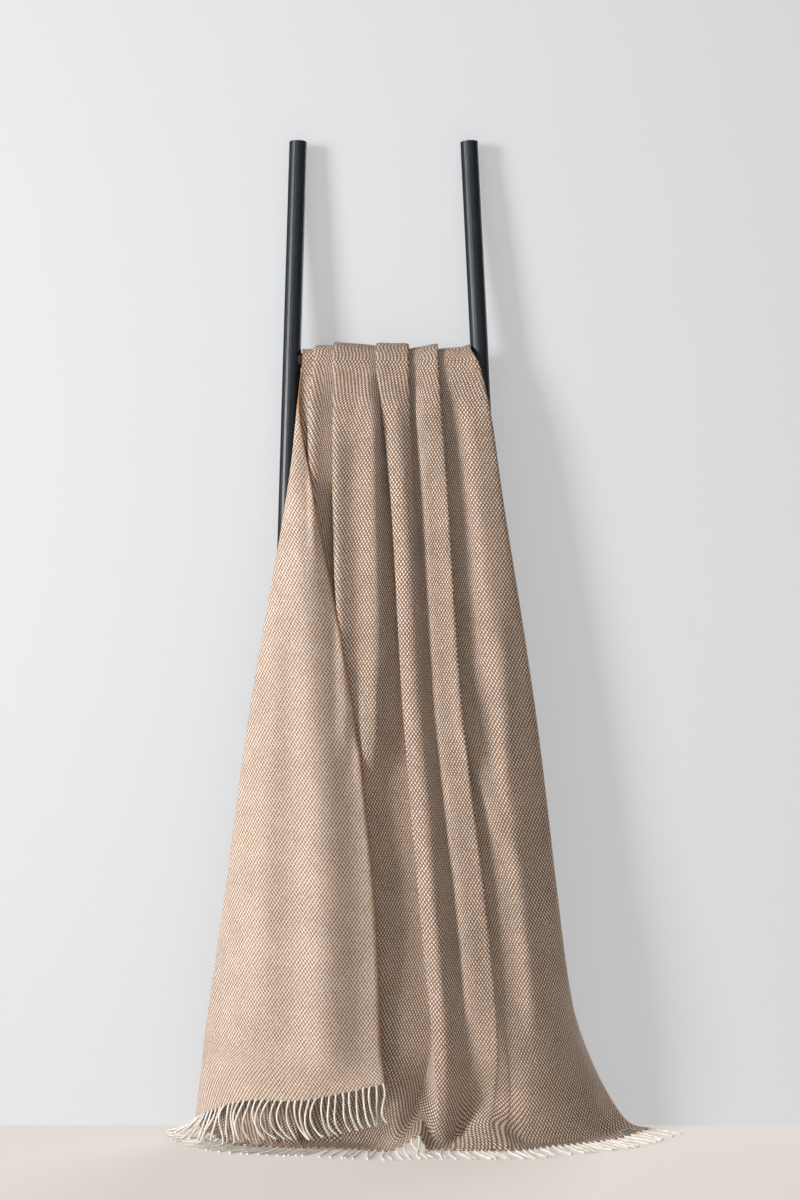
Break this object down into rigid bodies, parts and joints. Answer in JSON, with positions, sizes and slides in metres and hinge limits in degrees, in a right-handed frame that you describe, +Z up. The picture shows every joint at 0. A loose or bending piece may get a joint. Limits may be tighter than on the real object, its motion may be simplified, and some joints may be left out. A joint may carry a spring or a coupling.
{
  "type": "lambswool throw on a leaning ladder",
  "caption": "Long woven wool throw with a twisted fringe, gathered over the top rung of a plain leaning ladder and falling in soft pleats to the floor.",
  "frame": {"origin": "on the floor, below the middle of the whole object's box", "axes": "+Z up, +Y towards the wall that the ladder leans on, +X to the right of someone who faces the ladder"},
  "size_m": [1.0932, 0.318, 2.0611],
  "materials": {
    "lambswool": "soft brushed weave, cream on camel",
    "cream_yarn": "twisted wool yarn",
    "label_tape": "woven tape",
    "black_paint": "satin black paint"
  },
  "bodies": {
    "root": {"throw": "lambswool", "fringe_front": "cream_yarn", "fringe_back": "cream_yarn", "label": "label_tape", "rail_left": "black_paint", "rail_right": "black_paint", "rung_1": "black_paint", "rung_2": "black_paint", "rung_3": "black_paint", "rung_4": "black_paint"}
  },
  "joints": []
}
